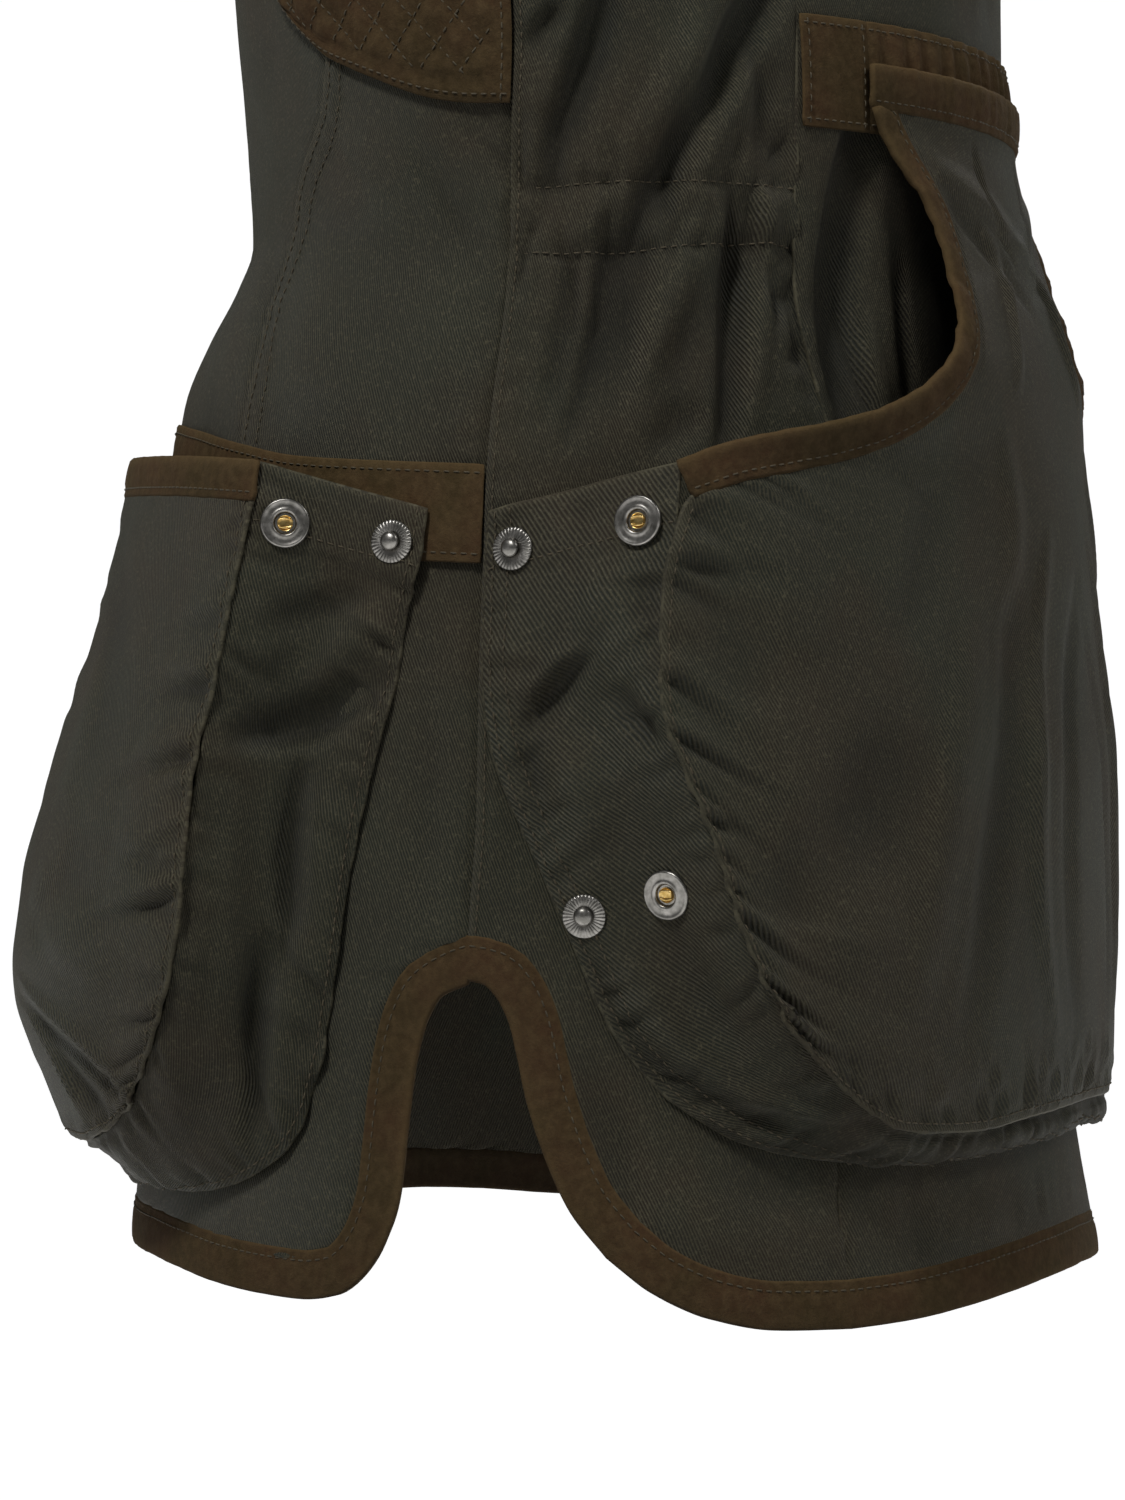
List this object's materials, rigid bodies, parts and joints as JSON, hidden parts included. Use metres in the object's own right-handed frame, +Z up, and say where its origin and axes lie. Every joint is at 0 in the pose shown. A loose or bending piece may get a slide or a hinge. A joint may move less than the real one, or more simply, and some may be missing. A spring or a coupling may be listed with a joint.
{
  "type": "shooting vest",
  "caption": "Sleeveless twill shooting vest with suede trim, V-neck, bellows front pockets, side vents and a game pouch across the back, filled out as worn",
  "frame": {"origin": "the middle of the neck at the height of the shoulders, where a wearer holds the vest up", "axes": "+Z up, the front of the vest faces -Y, the wearer's left is +X"},
  "size_m": [0.3856, 0.3374, 0.7631],
  "materials": {
    "twill": "matt waxed cotton twill, dark olive grey",
    "suede": "napped suede, dark brown",
    "nickel": "brushed nickel plate",
    "brass": "plain brass"
  },
  "bodies": {
    "root": {"front_centre_left": "twill", "front_centre_right": "twill", "front_side_left": "twill", "front_side_right": "twill", "front_lower_left": "twill", "front_lower_right": "twill", "side_back_left": "twill", "side_back_right": "twill", "back": "twill", "placket": "twill", "pocket_face_left": "twill", "pocket_face_right": "twill", "pocket_gusset_left": "twill", "pocket_gusset_right": "twill", "pouch_face": "twill", "pouch_gusset": "twill", "gun_patch_left": "suede", "gun_patch_right": "suede", "hip_band_left": "suede", "hip_band_right": "suede", "hem_binding_front_left": "suede", "hem_binding_front_right": "suede", "hem_binding_back": "suede", "armhole_binding_left": "suede", "armhole_binding_right": "suede", "neck_binding": "suede", "pocket_trim_left": "suede", "pocket_trim_right": "suede", "pouch_trim_left": "suede", "pouch_trim_right": "suede", "pouch_top_band": "suede", "belt_end_left": "suede", "belt_end_right": "suede", "belt_gathered": "suede", "placket_snap_1": "nickel", "placket_snap_2": "nickel", "placket_snap_3": "nickel", "placket_snap_4": "nickel", "placket_snap_5": "nickel", "pocket_socket_left": "nickel", "pocket_socket_right": "nickel", "pocket_stud_left": "nickel", "pocket_stud_right": "nickel", "pouch_stud_upper_left": "nickel", "pouch_stud_upper_right": "nickel", "pouch_socket_upper_left": "nickel", "pouch_socket_upper_right": "nickel", "pouch_stud_lower_left": "nickel", "pouch_stud_lower_right": "nickel", "pouch_socket_lower_left": "nickel", "pouch_socket_lower_right": "nickel", "pocket_socket_spring_left": "brass", "pocket_socket_spring_right": "brass", "pouch_socket_upper_spring_left": "brass", "pouch_socket_upper_spring_right": "brass", "pouch_socket_lower_spring_left": "brass", "pouch_socket_lower_spring_right": "brass"}
  },
  "joints": []
}
